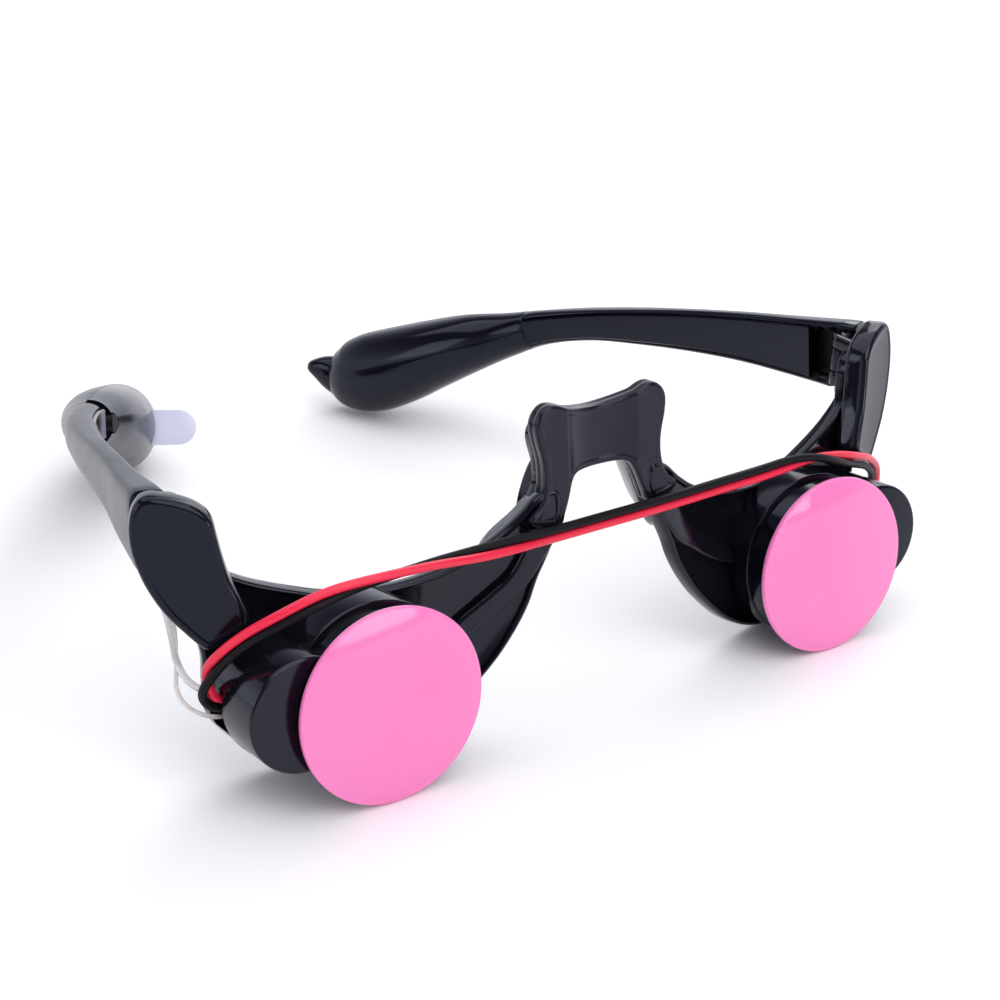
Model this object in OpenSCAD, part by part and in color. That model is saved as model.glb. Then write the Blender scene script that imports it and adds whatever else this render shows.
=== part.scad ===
// Light-up spectacle frame worn over the cheeks.
// A black half-frame with a high bridge carries two shallow dishes. A lamp
// housing with a round domed cover stands on the front of each dish, a red and
// a black lead join the two housings, and two hollow curved temples fold on
// pinned hinges. The left tip holds the cells, the switch and the circuit.
// Millimetres. +X to the wearer's left lamp, +Y from the lamps to the tips,
// +Z up. The lamp covers and the two tips stand on z = 0.

/* [Lamps] */
// Diameter of each round lamp cover
disc_d = 31; // [30:0.5:31]
// Distance from the middle to the centre of a lamp cover
lamp_x = 43.8; // [43.2:0.1:44.2]
// Height of the dome of a lamp cover
disc_dome = 1.6; // [1:0.1:2.4]
// Diameter of the drum behind a lamp cover
drum_d = 27.6; // [27:0.2:28.4]
// Diameter of the outer lobe of a lamp housing
lobe_d = 18.2; // [17.8:0.2:18.4]
// Wall of the lamp housings
house_wall = 1.3; // [1:0.1:1.6]

/* [Front frame] */
// Thickness of the dish and web plate
plate_t = 2; // [1.6:0.1:2.2]
// Thickness of an endpiece cover
end_t = 4.4; // [4:0.1:4.6]
// Thickness of the bridge cover
bridge_t = 3.2; // [2.8:0.1:3.4]

/* [Hinges] */
// Diameter of a hinge pin
pin_d = 1.6; // [1.4:0.1:1.8]
// Radial clearance of a temple barrel on its pin
pin_gap = 0.05; // [0.03:0.01:0.08]
// Outside diameter of the hinge barrels
barrel_d = 4.6; // [4.2:0.1:4.8]

/* [Temples] */
// Wall of the hollow temples
temple_wall = 1.2; // [1:0.1:1.3]
// Travel of the push button
button_travel = 0.8; // [0.4:0.1:0.9]
// Width of the pull tab
tab_w = 7; // [6:0.5:8]

/* [Leads] */
// Diameter of the red lead and of the black lead
lead_d = 1.4; // [1.2:0.1:1.5]
// Diameter of the thick clear lead at the left hinge
clear_d = 1.1; // [0.9:0.1:1.2]
// Diameter of the thin clear lead at the left hinge
thin_d = 0.7; // [0.5:0.1:0.8]

/* [Hidden] */

y_mid = 70.88;           // moves the middle of the depth to y = 0
tilt = 7;                // the lamps lean back by this much
disc_r = disc_d/2;
rim_t = 0.9;             // thickness of a lamp cover
zc = disc_r*cos(tilt) + (rim_t - 0.3)*sin(tilt);   // height of the lamp centres, covers on the floor
yaw = 13;                // wrap of the dish and web plates
end_yaw = 24;            // wrap of the endpieces
hx = 67.2;               // hinge axis
hy = 25.6;
black = [0.05, 0.05, 0.07];

// ---- curves ---------------------------------------------------------------
function cr(a, b, c, d, t) = 0.5*((2*b) + (c - a)*t + (2*a - 5*b + 4*c - d)*t*t + (3*b - a - 3*c + d)*t*t*t);
function loop_pts(P, n) = let (L = len(P)) [for (i = [0:L-1], j = [0:n-1]) cr(P[(i+L-1)%L], P[i], P[(i+1)%L], P[(i+2)%L], j/n)];
function line_pts(P, n) = let (L = len(P)) concat([for (i = [0:L-2], j = [0:n-1]) cr(P[max(i-1, 0)], P[i], P[i+1], P[min(i+2, L-1)], j/n)], [P[L-1]]);
function unit(v) = v/norm(v);
function tang(P, i) = unit(P[min(i+1, len(P)-1)] - P[max(i-1, 0)]);

// ---- frames of reference ---------------------------------------------------
module row() translate([0, -y_mid, 0]) children();
// lamp frame: centre height of the lamps, leaning back
module lampf() row() translate([0, 0, zc]) rotate([-tilt, 0, 0]) children();
// plate frame of the right half: x along the plate, y backward from its face
module platef() lampf() translate([20, 8, 0]) rotate([0, 0, yaw]) children();
function pu(P) = [for (p = P) [(p[0] - 20)/cos(yaw), p[1]]];
// endpiece frame of the right half, y backward from the cover's face
module endf() lampf() translate([62.5, 12.2, 0]) rotate([0, 0, end_yaw]) children();
function eu(P) = [for (p = P) [(p[0] - 62.5)/cos(end_yaw), p[1]]];
// a flat outline in x and z, thick from y = a to y = b
module slab(a, b) translate([0, b, 0]) rotate([90, 0, 0]) linear_extrude(b - a) children();
module left() mirror([1, 0, 0]) children();

// ---- outlines, x and z in the lamp frame -----------------------------------
dish_low = [[65.3, 8], [65.5, 3], [64.4, -2], [62, -6.5], [59, -9.9], [55, -12.2], [50, -13.2], [44, -13.4],
            [36, -12.8], [28.2, -9], [21.4, -3], [17.3, 2], [14.6, 6.5], [13, 10.5], [10.8, 14.8]];
web_top = [[8.8, 20], [9, 24.6], [12.4, 23.9], [15.6, 21.1], [19, 18.6], [23, 16.5], [28, 14.8], [34, 13.8], [40, 13.7], [46, 14.4],
           [51, 16], [55.2, 17.6], [58.6, 19.2], [62.4, 21.6], [64.5, 23.6], [66.5, 20], [66.5, 14]];
end_out = [[65.9, 32.7], [67.7, 33.7], [69.8, 34.4], [71.6, 34.8], [73, 34.4], [74, 33.1], [74.6, 31], [74.8, 28.4], [74.5, 25.4], [73.4, 21.2],
           [71.4, 16.8], [69, 13.4], [66.9, 10.8], [65.8, 10.3], [63.9, 11.3], [60.8, 13.2], [60.2, 14.6], [61.1, 17.6], [62.3, 21], [63, 24.5], [63.5, 28], [63.8, 30], [64.6, 31.5]];
bridge_half = [[0, 35.9], [3.6, 36.3], [6.4, 37.1], [8.6, 38], [10.2, 38.1], [11.6, 37.2], [12.4, 35.8], [12.5, 34.4], [12.2, 32.4], [11.5, 29.6], [11.3, 27],
               [11.6, 24.6], [12.6, 22.4], [14, 21.1], [14.4, 20.2], [13.6, 19.3], [12, 18.8], [8.6, 18.5], [7.8, 20.3], [7, 22.4], [6.2, 24.5], [5.4, 25.6], [4.4, 26], [2.6, 26.1], [0, 26.1]];
bridge_back = [[0, 34.7], [3.6, 35.1], [6.4, 35.9], [8.6, 36.8], [10.2, 36.8], [11.4, 36], [12.2, 34.8], [12.3, 33.6], [12, 31.8], [11.3, 29.2], [11.1, 27],
               [11.4, 24.8], [12.4, 22.6], [13.8, 21.2], [14.2, 20.3], [13.4, 19.5], [12, 19], [8.8, 18.7], [8, 20.5], [7.2, 22.6], [6.4, 24.7], [5.5, 25.8], [4.4, 26.2], [2.6, 26.3], [0, 26.3]];
ledge_out = [[9.4, 18.4], [14, 19], [15.4, 15.8], [17.6, 12.4], [20.5, 10.1], [23.5, 8.2], [26.6, 6.2], [29.4, 3.6], [31, 0.6], [27.4, 1.8],
             [23.4, 3.9], [20.5, 5.8], [18.2, 7.5], [16, 8.9], [14, 10.8], [12.2, 13.4], [10.9, 15.2]];

// ---- front -----------------------------------------------------------------
module dish_plate() polygon(loop_pts(pu(concat(web_top, dish_low)), 4));
function both(P) = concat(P, [for (i = [len(P)-1:-1:0]) if (P[i][0] > 0.001) [-P[i][0], P[i][1]]]);
module bridge_shape() polygon(both(line_pts(bridge_half, 2)));
module bridge_back_shape() polygon(both(line_pts(bridge_back, 2)));
bar_half = [[0, 33], [4, 33.3], [8, 34.8], [10, 35], [11.1, 34.3], [11.6, 32.9], [11.4, 31], [10.8, 28.8], [10.6, 26.8], [10.8, 24.8], [12.4, 21.6], [12.2, 19], [9.4, 18.6], [8.6, 20.3], [7.9, 22.5], [7, 24.8], [5.9, 26], [4.4, 26.5], [0, 26.5]];
module bar_shape() polygon(both(line_pts(bar_half, 2)));
hollow_r = 13.4;         // hollow of the bridge
module hollow_back(r) translate([0, 5 + 1.85 - hollow_r, 0]) cylinder(r = r, h = 200, center = true, $fn = 128);

// bridge layer between depth a and b: flat feet, hollow middle
module bridge_layer(a, b, gap = 0, foot = 6.8) intersection() {
    slab(0, 24) children();
    union() {
        difference() {
            translate([-20, a, -50]) cube([40, b - a, 100]);
            translate([-foot, -1, -60]) cube([2*foot, 40, 120]);
        }
        intersection() {
            difference() {
                hollow_back(hollow_r + b - 5);
                hollow_back(hollow_r + a - 5 + gap);
            }
            translate([-foot - 0.1, 0, -50]) cube([2*foot + 0.2, 40, 100]);
        }
    }
}
// flared nose pad behind a bridge foot
module nose_pad() lampf() difference() {
    translate([7.4, 9, 22.5]) rotate([0, -20, 0]) rotate([0, 0, -16]) intersection() {
        translate([0, 0, -7.8]) cube([1.7, 5.4, 15.4]);
        translate([-1, -4, -0.6]) rotate([0, 90, 0]) cylinder(r = 9.6, h = 4, $fn = 64);
    }
    hollow_back(hollow_r + 4.6);
}
module ear(z0, z1) row() difference() {
    union() {
        translate([hx, hy, z0]) cylinder(d = barrel_d, h = z1 - z0, $fn = 48);
        translate([hx - barrel_d/2, hy - 5.4, z0]) cube([barrel_d, 5.4, z1 - z0]);
    }
    translate([hx, hy, z0 - 1]) cylinder(d = pin_d, h = z1 - z0 + 2, $fn = 48);
}
module front_half() {
    difference() {
        union() {
            platef() slab(0, plate_t) dish_plate();
            platef() slab(-1, 0.5) difference() {
                dish_plate();
                polygon(loop_pts(pu([[62, 11], [64.1, 6], [64.1, 1], [62.6, -3.4], [60, -7.4], [56, -10.4], [50, -12], [44, -12.3], [36, -11.7], [28.8, -7.9],
                    [22.2, -2], [18.2, 3], [15.8, 7.2], [14.4, 11], [13, 15], [13, 40], [68, 40], [64, 22]]), 3));
            }
            platef() slab(-1.3, 0.2) polygon(loop_pts(pu(ledge_out), 3));
        }
        // clear of the lamp housing in front of the plate's face
        intersection() {
            platef() translate([-40, -20, -40]) cube([120, 20, 80]);
            lampf() union() {
                drum(drum_d + 1.3, -5, 40, [lamp_x, 0.5]);
                drum(lobe_d + 0.3, -5, 40, lobe);
            }
        }
    }
    nose_pad();
    // root of the web behind the bridge foot
    platef() slab(0.6, plate_t + 2.2) polygon(loop_pts(pu([[10.3, 18.6], [10.5, 22], [12.6, 23.2], [15.4, 20.9], [19.4, 18], [21, 15.4], [18.4, 12.8], [13.6, 12], [11, 15.2]]), 3));
    difference() {
        endf() slab(end_t, end_t + 2) polygon(loop_pts(eu([for (p = end_out) [p[0]*0.8 + 13.6, p[1]*0.8 + 3.6]]), 3));
        // room for the temple and its barrel
        row() translate([hx, hy, 30]) cylinder(d = barrel_d + 0.8, h = 30, $fn = 48);
        row() translate([62, 25.2, 30]) cube([20, 20, 30]);
        intersection() {
            row() translate([66, 10, 33]) cube([20, 30, 16]);
            endf() translate([-20, end_t + 0.4, 0]) cube([60, 20, 60]);
        }
    }
}
module front_frame() color(black) {
    difference() {
        union() {
            front_half();
            left() front_half();
            lampf() bridge_layer(5 + bridge_t, 5 + bridge_t + 2.4, 0.3, 8) bar_shape();
            for (z = [[35.4, 38], [42.6, 45]]) {
                ear(z[0], z[1]);
                left() ear(z[0], z[1]);
            }
        }
        // seat of the bridge cover and of the two endpiece covers
        lampf() translate([-14.8, -5, 18.2]) cube([29.6, 10 + bridge_t, 40]);
        lampf() translate([-16, -5, 15.4]) cube([32, 10.2, 10]);
        endf() translate([-20, -20, 9.9]) cube([40, 20 + end_t, 60]);
        left() endf() translate([-20, -20, 9.9]) cube([40, 20 + end_t, 60]);
    }
}
module bridge_cover() color(black) lampf() {
    bridge_layer(5, 5 + bridge_t/2) bridge_shape();
    bridge_layer(5 + bridge_t/2, 5 + bridge_t) bridge_back_shape();
}
module endpiece_cover() color(black) endf() slab(0, end_t) polygon(loop_pts(eu(end_out), 4));
module endpiece_cover_right() endpiece_cover();
module endpiece_cover_left() left() endpiece_cover();

// ---- lamps -----------------------------------------------------------------
lobe = [56.8, 1.5];
module drum(d, a, b, c = [lamp_x, 0]) translate([c[0], b, c[1]]) rotate([90, 0, 0]) cylinder(d = d, h = b - a, $fn = 96);
module lamp_housing() color(black) lampf() difference() {
    union() {
        drum(drum_d, 0.6, 30);
        drum(drum_d + 1, 5.6, 30, [lamp_x, 0.5]);
        drum(lobe_d, 2.4, 30, lobe);
    }
    drum(drum_d - 2*house_wall, -1, 40);
    drum(lobe_d - 2*house_wall, 2.4 + house_wall, 40, lobe);
    // seat on the plate's face
    translate([20, 8, 0]) rotate([0, 0, yaw]) translate([-40, 0, -40]) cube([120, 60, 80]);
    // lead notch in the outer wall
    translate([lobe[0], 11.6, -2.6]) cube([20, 5.4, 7]);
}
module lamp_housing_right() lamp_housing();
module lamp_housing_left() left() lamp_housing();
dome_r = (disc_r*disc_r + disc_dome*disc_dome)/(2*disc_dome);
module lamp_cover() color([0.98, 0.3, 0.6]) lampf() translate([lamp_x, -0.3, 0]) rotate([90, 0, 0])
    intersection() {
        translate([0, 0, -rim_t]) cylinder(d = disc_d, h = 10, $fn = 128);
        union() {
            translate([0, 0, -rim_t]) cylinder(d = disc_d, h = rim_t, $fn = 128);
            translate([0, 0, disc_dome - dome_r]) sphere(r = dome_r, $fn = 200);
        }
    }
module lamp_cover_right() lamp_cover();
module lamp_cover_left() left() lamp_cover();
module lamp_board() color([0.1, 0.35, 0.16]) lampf() drum(drum_d - 2*house_wall - 0.3, 8, 9);
module lamp_board_right() lamp_board();
module lamp_board_left() left() lamp_board();
module led() color([0.92, 0.95, 0.98]) lampf() translate([lamp_x, 8, 0]) rotate([90, 0, 0]) {
    cylinder(d = 5.8, h = 1, $fn = 48);
    cylinder(d = 5, h = 3, $fn = 48);
    translate([0, 0, 3]) intersection() { sphere(d = 5, $fn = 48); translate([0, 0, 2.5]) cube([6, 6, 5], center = true); }
}
module led_right() led();
module led_left() left() led();

// ---- leads -----------------------------------------------------------------
// tube along a route, N sides
module tube(P, d, N = 8) {
    n = len(P);
    up = [0, 1, 0.3];
    rings = [for (i = [0:n-1]) let (t = tang(P, i), u = unit(cross(t, cross(up, t))), v = cross(t, u))
        [for (k = [0:N-1]) P[i] + (d/2)*(cos(360*k/N)*u + sin(360*k/N)*v)]];
    polyhedron(points = [for (r = rings, p = r) p],
        faces = concat([[for (k = [0:N-1]) k]], [[for (k = [N-1:-1:0]) (n-1)*N + k]],
            [for (i = [0:n-2], k = [0:N-1], h = [0, 1]) h == 0 ? [i*N + k, (i+1)*N + k, (i+1)*N + (k+1)%N] : [i*N + k, (i+1)*N + (k+1)%N, i*N + (k+1)%N]]));
}
// middle line of the red and black pair, from the left housing to the right
pair = [[-64.4, 13.4, 15.6], [-66.6, 13.8, 16.6], [-67.4, 13.8, 19], [-66.9, 13.1, 21.8], [-65.2, 11.6, 24.8], [-62.4, 9.6, 27.8], [-58.2, 7.4, 30.6],
        [-52.4, 6, 32.9], [-45.8, 5.8, 33.7], [-34, 5.8, 33.7], [-25, 5.8, 33.3], [-17, 5.8, 33.1], [-10, 5.8, 33], [-2, 5.8, 33], [6, 5.8, 33], [14, 5.8, 33.1], [22, 5.8, 33.3],
        [31, 5.8, 33.5], [38.4, 5.8, 33.8], [43.4, 6, 33.3], [48, 6.6, 32], [52.4, 7.7, 30.4], [56.8, 9.2, 28.6], [61, 11, 26.6], [65.1, 13.2, 23.5], [67.3, 15, 20], [66.8, 15.2, 17.4], [64.4, 14.4, 15.6]];
// the pair makes three half turns; s goes from 0 to 1 along the route
function turn(s) = lookup(s, [[0, -90], [0.055, -90], [0.135, 60], [0.26, 80], [0.42, 270], [0.65, 270], [0.79, 440], [1, 450]]);
function strand(side) = let (P = line_pts(pair, 2), n = len(P)) [for (i = [0:n-1])
    let (t = tang(P, i), u = unit(cross(t, cross([0, 1, 0], t))), v = cross(t, u), a = turn(i/(n-1)))
    P[i] + side*(lead_d/2 + 0.03)*(cos(a)*u + sin(a)*v)];
module lead_red() color([0.85, 0.08, 0.16]) row() tube(strand(1), lead_d);
module lead_black() color(black) row() tube(strand(-1), lead_d);
loop_thick = [[-64.4, 15.4, 16.9], [-66.4, 16.6, 16.9], [-67.8, 19.2, 17.8], [-68.2, 21.8, 20], [-67.8, 24, 23], [-67.8, 26.8, 27.6], [-69, 31.2, 34.6]];
loop_thin = [[-64.4, 13.4, 13.6], [-66.8, 14, 13.9], [-68.8, 16.6, 14.6], [-69.3, 19.6, 16.2], [-67.9, 22.6, 19], [-66.7, 25.4, 23.6], [-66.5, 28.4, 29], [-68.3, 32.8, 34.8]];
module lead_clear_thick() color([0.92, 0.92, 0.9]) row() tube(line_pts(loop_thick, 2), clear_d);
module lead_clear_thin() color([0.92, 0.86, 0.8]) row() tube(line_pts(loop_thin, 2), thin_d);

// ---- temples ---------------------------------------------------------------
// x, y, z of the middle, half height, half thickness, squareness
tpl = [[69.4, 26.4, 40.2, 6.5, 2.9, 0.45], [67.4, 38, 38.7, 5.6, 2.3, 0.45], [64.8, 50, 37.2, 4.8, 1.9, 0.5], [62.2, 62, 35.2, 4.2, 1.9, 0.55],
       [59.2, 74, 32.9, 3.7, 2.4, 0.6], [55.5, 86, 30.3, 3.3, 2.8, 0.7], [50.9, 96, 27.3, 3.6, 3.2, 0.85], [46.9, 104, 23.8, 4.7, 5, 1],
       [42.4, 111, 20.6, 6.2, 7, 1], [38, 118, 16.8, 7.4, 8.2, 1], [34, 124.4, 13.1, 8.4, 8.3, 1], [30.4, 130.4, 10, 8.8, 7.8, 1],
       [27.6, 135, 8.3, 7.8, 6.8, 1], [25.8, 138, 7.8, 5.8, 5, 1], [24.9, 139.6, 7.8, 2.8, 2.6, 1]];
TP = line_pts(tpl, 3);
function tmid(i) = [TP[i][0], TP[i][1], TP[i][2]];
TM = [for (i = [0:len(TP)-1]) tmid(i)];
function sgnpow(v, p) = v < 0 ? -pow(-v, p) : pow(v, p);
// point of the skin at ring i: a is the angle from the outer side, w the inset
// rings may lie between two stations
function ring(i) = let (k = floor(i), f = i - k) f < 0.001 ? TP[k] : TP[k]*(1 - f) + TP[k+1]*f;
function dir(i) = let (k = floor(i), f = i - k) f < 0.001 ? tang(TM, k) : unit(tang(TM, k)*(1 - f) + tang(TM, k+1)*f);
// the front end is cut parallel to the endpiece's back, 0.8 clear of it
end_v = end_t + 0.8;
end_n = [-sin(end_yaw), cos(end_yaw)*cos(tilt), -cos(end_yaw)*sin(tilt)];
end_p = [62.5 - end_v*sin(end_yaw), (12.2 + end_v*cos(end_yaw))*cos(tilt), zc - (12.2 + end_v*cos(end_yaw))*sin(tilt)];
function skin(i, a, w) = let (t = dir(i), o = unit([t[1], -t[0], 0]), b = cross(o, t), r = ring(i), q = r[5],
    ht = max(r[4] - w, 0.15), hh = max(r[3] - w, 0.15), p = [r[0], r[1], r[2]] + ht*sgnpow(cos(a), q)*o + hh*sgnpow(sin(a), q)*b)
    i > 0 ? p : p + t*((end_p - p)*end_n)/(t*end_n);
SEAM = 19;               // first ring of the tip
// half-shell between angles +-A around the angle m, rings i0 to i1
module shell(i0, i1, m, A0, A1, w0, w1, K = 12) {
    idx = concat([for (i = [i0:1:min(i1, SEAM - 1)]) i], i0 < SEAM ? [SEAM - 0.06] : [], [for (i = [max(i0, SEAM):1:i1]) i]);
    n = len(idx);
    N = 2*(K + 1);
    rings = [for (i = idx) let (A = i < SEAM - 0.03 ? A0 : A1) concat([for (k = [0:K]) skin(i, m - A + 2*A*k/K, w0)], [for (k = [K:-1:0]) skin(i, m - A + 2*A*k/K, w1)])];
    polyhedron(points = [for (r = rings, p = r) p],
        faces = concat([for (k = [0:K-1]) [k, N-1-k, N-2-k, k+1]], [for (k = [0:K-1]) [(n-1)*N + k, (n-1)*N + k+1, (n-1)*N + N-2-k, (n-1)*N + N-1-k]],
            [for (i = [0:n-2], k = [0:N-1]) [i*N + k, i*N + (k+1)%N, (i+1)*N + (k+1)%N, (i+1)*N + k]]));
}
module at_hinge() row() translate([hx, hy, 0]) children();
// barrel of a temple with its rib to the outer wall
module barrel() at_hinge() difference() {
    union() {
        translate([0, 0, 38.2]) cylinder(d = barrel_d, h = 4.2, $fn = 48);
        translate([0, 0.4, 38.6]) cube([3.9, 1.8, 3.4]);
    }
    translate([0, 0, 30]) cylinder(d = pin_d + 2*pin_gap, h = 20, $fn = 48);
}
module nubf() row() translate([23.4, 139, 9.4]) rotate([8, 0, 46]) children();
// beak: y, half width, bottom, top
nub_p = [[-2.2, 3.6, -5.6, 2.6], [-0.6, 3.3, -4.9, 2.7], [0.7, 2.9, -4.2, 2.5], [1.7, 2.5, -3.5, 2.2], [2.6, 2.15, -2.8, 1.8], [3.4, 1.85, -2.2, 1.35], [4.1, 1.5, -1.7, 0.9], [4.6, 1.05, -1.3, 0.45], [4.8, 0.5, -0.9, 0.05]];
module nub(g = 0) nubf() {
    n = len(nub_p);
    N = 20;
    polyhedron(points = [for (i = [0:n-1], k = [0:N-1]) let (r = nub_p[i], a = 360*k/N)
            [(r[1] + g)*sgnpow(cos(a), 0.8), r[0] + (i == n-1 ? g : i == 0 ? -g : 0), (r[2] + r[3])/2 + ((r[3] - r[2])/2 + g)*sgnpow(sin(a), 0.8)]],
        faces = concat([[for (k = [N-1:-1:0]) k]], [[for (k = [0:N-1]) (n-1)*N + k]],
            [for (i = [0:n-2], k = [0:N-1], h = [0, 1]) h == 0 ? [i*N + k, (i+1)*N + (k+1)%N, (i+1)*N + k] : [i*N + k, i*N + (k+1)%N, (i+1)*N + (k+1)%N]]));
}
module temple_shell() color(black) {
    difference() {
        row() shell(0, len(TP)-1, 0, 140, 89.5, 0, temple_wall);
        at_hinge() translate([0, 0, 30]) cylinder(d = barrel_d + 1.8, h = 15.6, $fn = 48);
    }
    barrel();
}
module temple_shell_right() { temple_shell(); color(black) nub(); }
// tip frame of the right temple: x outward, y along the tip, z across
tip_p = [34.2, 124, 13.5];
module tipf() row() translate(tip_p) rotate([-25, 0, 28.8]) children();
module temple_shell_left() left() {
    difference() {
        temple_shell();
        // hole for the clear leads
        row() translate([67.4, 29.6, 31]) cube([3.6, 4.4, 6]);
    }
    color(black) nub();
}
// inner channel panel
module temple_panel() color(black) row() {
    idx = concat([for (i = [2:SEAM-1]) i], [SEAM - 0.12]);
    n = len(idx);
    rings = [for (i = idx) let (t = dir(i), o = unit([t[1], -t[0], 0]), b = cross(o, t), r = ring(i), m = [r[0], r[1], r[2]], h = (r[3] - temple_wall)*pow(sin(140), r[5]) - 0.1, x = -r[4] + 0.3)
        [m + x*o - h*b, m + (x + 1)*o - h*b, m + (x + 1)*o + h*b, m + x*o + h*b]];
    polyhedron(points = [for (r = rings, p = r) p],
        faces = concat([[3, 2, 1, 0]], [[for (k = [0:3]) (n-1)*4 + k]], [for (i = [0:n-2], k = [0:3]) [i*4 + k, i*4 + (k+1)%4, (i+1)*4 + (k+1)%4, (i+1)*4 + k]]));
}
module temple_panel_right() temple_panel();
module temple_panel_left() left() temple_panel();
module tip_cover() difference() {
    row() shell(SEAM, len(TP)-1, 180, 89.5, 89.5, 0, temple_wall);
    nub(0.12);
}
module tip_cover_right() color(black) tip_cover();
// axis of the push button, through the shoulder of the tip
module buttonf() row() translate([46.4, 103.8, 23.8]) rotate([0, 84, -141]) children();
module tip_cover_left() color(black) left() difference() {
    tip_cover();
    // round opening over the button
    row() translate([46.9, 104, 23.8]) rotate([0, 67.3, -68.6]) translate([0, 0, 0.6]) cylinder(r = 4.5, h = 12, $fn = 64);
    buttonf() translate([0, 0, 1.5]) cylinder(d = 4, h = 3.3, $fn = 48);
    // slit for the pull tab
    tipf() translate([-12, 0.35, tab_z - tab_w/2 - 0.15]) cube([6, 0.5, tab_w + 0.3]);
}

// ---- left tip, inside ------------------------------------------------------
cell_d = 7.9;
cell_t = 3.6;
tab_z = -0.5;
module cell_holder() color([0.12, 0.12, 0.14]) left() tipf() difference() {
    translate([0, 14.4, 0.1]) rotate([90, 0, 0]) cylinder(d = cell_d + 1.6, h = 13.6, $fn = 64);
    translate([0, 14, 0.1]) rotate([90, 0, 0]) cylinder(d = cell_d + 0.3, h = 15, $fn = 64);
    translate([-10, -1, -8]) cube([8.6, 17, 18]);
}
module button_cells() color([0.75, 0.76, 0.78]) left() tipf() for (i = [0:2])
    translate([0, 1.1 + i*(cell_t + 0.06) + cell_t, 0.1]) rotate([90, 0, 0]) { cylinder(d = cell_d, h = cell_t - 0.3, $fn = 64); cylinder(d = cell_d - 1.6, h = cell_t, $fn = 64); }
module contact_plate() color([0.8, 0.7, 0.4]) left() tipf() {
    translate([-3, -0.4, -2.9]) cube([6, 0.5, 6]);
    translate([-1, -3.4, -2.9]) cube([2, 3.5, 0.3]);
}
module contact_spring() color([0.8, 0.8, 0.82]) left() tipf()
    tube([for (k = [0:30]) let (a = k*30, r = 2.8 - 1.1*k/30) [r*cos(a), 13.7 - 1.2*k/30, 0.1 + r*sin(a)]], 0.4, 6);
module control_board() color([0.1, 0.35, 0.16]) left() buttonf() translate([-1.8, -5.5, -1.7]) cube([4.2, 7.6, 0.8]);
module control_chip() color([0.04, 0.04, 0.04]) left() buttonf() translate([0.3, -3.2, -1.7]) rotate([180, 0, 0])
    intersection() { translate([0, 0, -1.6]) sphere(r = 2.4, $fn = 48); cylinder(r = 4, h = 3, $fn = 48); }
module switch_body() color([0.2, 0.2, 0.22]) left() buttonf() difference() {
    translate([-2, -2, -0.9]) cube([4, 4, 1.9]);
    // bore that the button's stem sinks into
    translate([0, 0, 1 - button_travel]) cylinder(d = 2.12, h = 4, $fn = 48);
}
module switch_button() color([0.35, 0.35, 0.38]) left() buttonf() { translate([0, 0, 1 + button_travel + 0.05]) cylinder(d = 3.4, h = 2.6, $fn = 48); translate([0, 0, 1.05]) cylinder(d = 2, h = 1.4, $fn = 48); }
module pull_tab() color([0.8, 0.8, 0.98, 0.6]) left() tipf() translate([0, 0.5, tab_z]) {
    translate([-12.9, 0, -tab_w/2]) cube([14.9, 0.2, tab_w]);
    translate([-12.9, 0.2, 0]) rotate([90, 0, 0]) cylinder(d = tab_w, h = 0.2, $fn = 64);
}
module hinge_pin() color([0.8, 0.78, 0.72]) at_hinge() translate([0, 0, 33.9]) { cylinder(d = pin_d - 0.02, h = 11.4, $fn = 48); cylinder(d = pin_d + 0.8, h = 1.2, $fn = 48); }
module hinge_pin_right() hinge_pin();
module hinge_pin_left() left() hinge_pin();

front_frame();
bridge_cover();
endpiece_cover_left();
endpiece_cover_right();
lamp_housing_left();
lamp_housing_right();
lamp_cover_left();
lamp_cover_right();
lamp_board_left();
lamp_board_right();
led_left();
led_right();
lead_red();
lead_black();
lead_clear_thick();
lead_clear_thin();
hinge_pin_left();
hinge_pin_right();
temple_shell_left();
temple_shell_right();
temple_panel_left();
temple_panel_right();
tip_cover_left();
tip_cover_right();
cell_holder();
button_cells();
contact_spring();
contact_plate();
control_board();
control_chip();
switch_body();
switch_button();
pull_tab();
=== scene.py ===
from math import sin, cos, tan, pi, radians, sqrt, exp, log

import bmesh
import bpy
import numpy as np
from mathutils import Matrix, Vector


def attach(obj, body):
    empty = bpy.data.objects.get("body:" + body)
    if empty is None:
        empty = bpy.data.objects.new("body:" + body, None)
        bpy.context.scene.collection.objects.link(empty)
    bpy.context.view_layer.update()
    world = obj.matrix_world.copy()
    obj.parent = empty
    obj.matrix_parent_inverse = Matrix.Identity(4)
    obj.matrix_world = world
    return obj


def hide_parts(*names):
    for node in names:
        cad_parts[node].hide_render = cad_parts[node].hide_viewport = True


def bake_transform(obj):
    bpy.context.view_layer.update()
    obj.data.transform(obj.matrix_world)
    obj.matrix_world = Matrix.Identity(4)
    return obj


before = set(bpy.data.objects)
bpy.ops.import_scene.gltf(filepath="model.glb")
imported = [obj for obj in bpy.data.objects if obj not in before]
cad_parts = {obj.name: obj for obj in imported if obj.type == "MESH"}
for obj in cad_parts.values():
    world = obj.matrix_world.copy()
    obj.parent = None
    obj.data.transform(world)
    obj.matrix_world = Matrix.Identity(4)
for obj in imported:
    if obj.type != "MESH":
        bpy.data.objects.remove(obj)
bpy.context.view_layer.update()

MM = 0.001

# ---------------------------------------------------------------- frames (mm)
Y_MID = 70.88
TILT = radians(7)
RIM = 0.9
DISC_R = 15.5
ZC = DISC_R * cos(TILT) + (RIM - 0.3) * sin(TILT)
YAW = radians(13)
END_YAW = radians(24)
LAMP_X = 43.8
HX, HY = 67.2, 25.6
LOBE = (56.8, 1.5)
TAB_Z = -0.5


def row(p):
    return (p[0], p[1] - Y_MID, p[2])


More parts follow.
